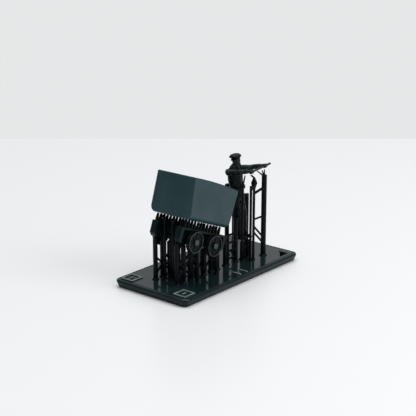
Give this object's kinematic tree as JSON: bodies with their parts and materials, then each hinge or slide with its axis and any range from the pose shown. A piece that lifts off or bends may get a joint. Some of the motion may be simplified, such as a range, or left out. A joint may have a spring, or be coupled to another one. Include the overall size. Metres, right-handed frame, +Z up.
{
  "type": "model tank wagon",
  "caption": "Slab-sided model tank wagon and its standing loader figure, as printed: pitched nose-up on slim break-away props above a bevelled raft, wheels free to turn.",
  "frame": {"origin": "middle of the raft's underside", "axes": "+X along the raft from the wagon's raised nose to the figure, +Z up, -Y is the side the figure faces"},
  "size_m": [0.0464, 0.0238, 0.0301],
  "materials": {
    "raft_resin": "glossy cured resin, dark grey-green",
    "wagon_resin": "semi-gloss cured resin with fine layer lines, dark grey-green",
    "prop_resin": "glossy cured resin, dark grey-green",
    "figure_resin": "semi-gloss cured resin, dark grey-green"
  },
  "bodies": {
    "raft": {"raft_plate": "raft_resin", "raft_marks": "raft_resin", "frame_props_near": "prop_resin", "frame_props_far": "prop_resin", "wheel_props_near": "prop_resin", "wheel_props_far": "prop_resin", "tank_props_front": "prop_resin", "tank_props_rear": "prop_resin", "ladder_props": "prop_resin", "boot_props": "prop_resin", "back_props": "prop_resin", "thigh_props": "prop_resin", "member_props": "prop_resin", "reach_props": "prop_resin"},
    "chassis": {"side_frame_near": "wagon_resin", "side_frame_far": "wagon_resin", "axle_box_near_front": "wagon_resin", "axle_box_near_rear": "wagon_resin", "axle_box_far_front": "wagon_resin", "axle_box_far_rear": "wagon_resin", "cross_member_front": "wagon_resin", "cross_member_middle": "wagon_resin", "cross_member_rear": "wagon_resin", "tank_struts_near": "prop_resin", "tank_struts_far": "prop_resin"},
    "wheelset_front": {"axle_front": "wagon_resin", "wheel_near_front": "wagon_resin", "wheel_far_front": "wagon_resin"},
    "wheelset_rear": {"axle_rear": "wagon_resin", "wheel_near_rear": "wagon_resin", "wheel_far_rear": "wagon_resin"},
    "tank": {"tank_shell": "wagon_resin", "tank_floor_plate": "wagon_resin"},
    "figure": {"figure_boots": "figure_resin", "figure_trousers": "figure_resin", "figure_jacket": "figure_resin", "figure_head": "figure_resin", "figure_cap": "figure_resin", "figure_arm_near": "figure_resin", "figure_arm_far": "figure_resin", "figure_hand_near": "figure_resin", "figure_hand_far": "figure_resin", "push_bar": "figure_resin"}
  },
  "joints": [
    {"name": "chassis_lift", "type": "slide", "parent": "raft", "child": "chassis", "axis": [0, 0, 1], "range_m": [0, 0.012]},
    {"name": "front_wheels_turn", "type": "hinge", "parent": "chassis", "child": "wheelset_front", "pos_m": [-0.01223, 0, 0.01266], "axis": [0, 1, 0], "continuous": true},
    {"name": "rear_wheels_turn", "type": "hinge", "parent": "chassis", "child": "wheelset_rear", "pos_m": [-0.00496, 0, 0.00983], "axis": [0, 1, 0], "continuous": true},
    {"name": "tank_lift", "type": "slide", "parent": "chassis", "child": "tank", "axis": [0, 0, 1], "range_m": [0, 0.01]},
    {"name": "figure_lift", "type": "slide", "parent": "raft", "child": "figure", "axis": [0, 0, 1], "range_m": [0, 0.012]}
  ]
}
